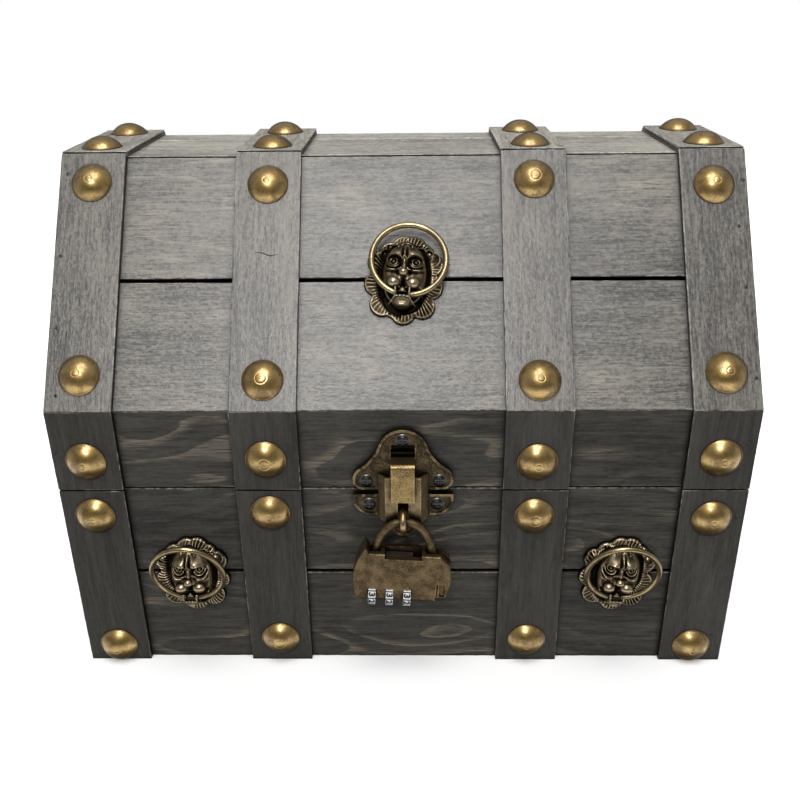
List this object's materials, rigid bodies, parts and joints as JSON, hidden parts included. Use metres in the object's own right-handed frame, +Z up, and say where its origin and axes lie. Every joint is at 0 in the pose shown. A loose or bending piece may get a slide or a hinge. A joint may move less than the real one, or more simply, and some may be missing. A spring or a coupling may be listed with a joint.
{
  "type": "wooden treasure chest box",
  "caption": "Wooden keepsake chest with a six-sided section, hinged lid, wooden straps, domed nails, lion ring pulls, and a hasp with a number padlock.",
  "frame": {"origin": "middle of the underside, on the surface the chest stands on", "axes": "+X along the chest's width, to the right of a viewer who faces the hasp; +Y to the back, where the hinges are; +Z up"},
  "size_m": [0.3, 0.2196, 0.2325],
  "materials": {
    "wall_wood": "satin, worn grey-brown stain",
    "slope_wood": "matt, faded grey stain",
    "strap_wood": "satin, worn pale at the edges",
    "antique_brass": "antiqued, dark in the hollows",
    "screw_steel": "dark",
    "plain_steel": "plain",
    "dial_enamel": "off-white with dark numbers"
  },
  "bodies": {
    "base": {"base_back_lower_plank": "wall_wood", "base_back_nails": "antique_brass", "base_back_straps": "strap_wood", "base_back_upper_plank": "wall_wood", "base_floor_board": "wall_wood", "base_front_lower_plank": "wall_wood", "base_front_nails": "antique_brass", "base_front_straps": "strap_wood", "base_front_upper_plank": "wall_wood", "base_left_end_board": "wall_wood", "base_right_end_board": "wall_wood", "hasp_channel": "antique_brass", "hasp_keeper_plate": "antique_brass", "hasp_keeper_screws": "screw_steel", "hinge_base_leaves": "antique_brass", "hinge_base_screws": "screw_steel", "hinge_pins": "plain_steel", "lion_mask_left": "antique_brass", "lion_mask_right": "antique_brass", "padlock_eye": "antique_brass"},
    "lid": {"hasp_lid_plate": "antique_brass", "hasp_plate_screws": "screw_steel", "hasp_tongue_pin": "plain_steel", "hinge_lid_leaves": "antique_brass", "hinge_lid_screws": "screw_steel", "lid_back_rail": "wall_wood", "lid_back_rail_nails": "antique_brass", "lid_back_rail_straps": "strap_wood", "lid_back_slope_lower_plank": "slope_wood", "lid_back_slope_nails": "antique_brass", "lid_back_slope_straps": "strap_wood", "lid_back_slope_upper_plank": "slope_wood", "lid_front_rail": "wall_wood", "lid_front_rail_nails": "antique_brass", "lid_front_rail_straps": "strap_wood", "lid_front_slope_lower_plank": "slope_wood", "lid_front_slope_nails": "antique_brass", "lid_front_slope_straps": "strap_wood", "lid_front_slope_upper_plank": "slope_wood", "lid_left_end_board": "wall_wood", "lid_right_end_board": "wall_wood", "lid_top_back_plank": "slope_wood", "lid_top_front_plank": "slope_wood", "lid_top_nails": "antique_brass", "lid_top_straps": "strap_wood", "lion_mask_lid": "antique_brass"},
    "hasp_tongue": {"hasp_tongue": "antique_brass"},
    "lion_ring_lid": {"lion_ring_lid": "antique_brass"},
    "lion_ring_left": {"lion_ring_left": "antique_brass"},
    "lion_ring_right": {"lion_ring_right": "antique_brass"},
    "padlock_shackle": {"padlock_shackle": "antique_brass"},
    "padlock_case": {"padlock_case_front": "antique_brass", "padlock_case_back": "antique_brass", "padlock_dial_axle": "plain_steel", "padlock_pivot_pin": "plain_steel"},
    "padlock_dial_left": {"padlock_dial_left": "dial_enamel"},
    "padlock_dial_middle": {"padlock_dial_middle": "dial_enamel"},
    "padlock_dial_right": {"padlock_dial_right": "dial_enamel"},
    "padlock_slider": {"padlock_slider": "plain_steel"}
  },
  "joints": [
    {"name": "lid_hinge", "type": "hinge", "parent": "base", "child": "lid", "pos_m": [0, 0.101, 0.094], "axis": [-1, 0, 0], "range_deg": [0, 110]},
    {"name": "hasp_tongue_hinge", "type": "hinge", "parent": "lid", "child": "hasp_tongue", "pos_m": [0.0006, -0.0993, 0.1116], "axis": [-1, 0, 0], "range_deg": [0, 45]},
    {"name": "lid_ring_swing", "type": "hinge", "parent": "lid", "child": "lion_ring_lid", "pos_m": [0.00061, -0.07621, 0.17503], "axis": [0.9836, -0.1042, -0.1474], "range_deg": [-4, 150]},
    {"name": "left_ring_swing", "type": "hinge", "parent": "base", "child": "lion_ring_left", "pos_m": [-0.0965, -0.1055, 0.04057], "axis": [0.9982, 0, -0.0593], "range_deg": [-12, 150]},
    {"name": "right_ring_swing", "type": "hinge", "parent": "base", "child": "lion_ring_right", "pos_m": [0.09632, -0.1055, 0.04062], "axis": [0.9914, 0, -0.1305], "range_deg": [-12, 150]},
    {"name": "padlock_swing", "type": "hinge", "parent": "base", "child": "padlock_shackle", "pos_m": [0.0015, -0.1073, 0.082], "axis": [-1, 0, 0], "range_deg": [-4, 100]},
    {"name": "padlock_open", "type": "hinge", "parent": "padlock_shackle", "child": "padlock_case", "pos_m": [0.01279, -0.1073, 0.06348], "axis": [0, -1, 0], "range_deg": [0, 70]},
    {"name": "left_dial_turn", "type": "hinge", "parent": "padlock_case", "child": "padlock_dial_left", "pos_m": [-0.00075, -0.1085, 0.04527], "axis": [0.9981, 0, -0.061], "continuous": true},
    {"name": "middle_dial_turn", "type": "hinge", "parent": "padlock_case", "child": "padlock_dial_middle", "pos_m": [-0.00075, -0.1085, 0.04527], "axis": [0.9981, 0, -0.061], "continuous": true},
    {"name": "right_dial_turn", "type": "hinge", "parent": "padlock_case", "child": "padlock_dial_right", "pos_m": [-0.00075, -0.1085, 0.04527], "axis": [0.9981, 0, -0.061], "continuous": true},
    {"name": "slider_slide", "type": "slide", "parent": "padlock_case", "child": "padlock_slider", "axis": [0.9981, 0, -0.061], "range_m": [0, 0.003]}
  ]
}
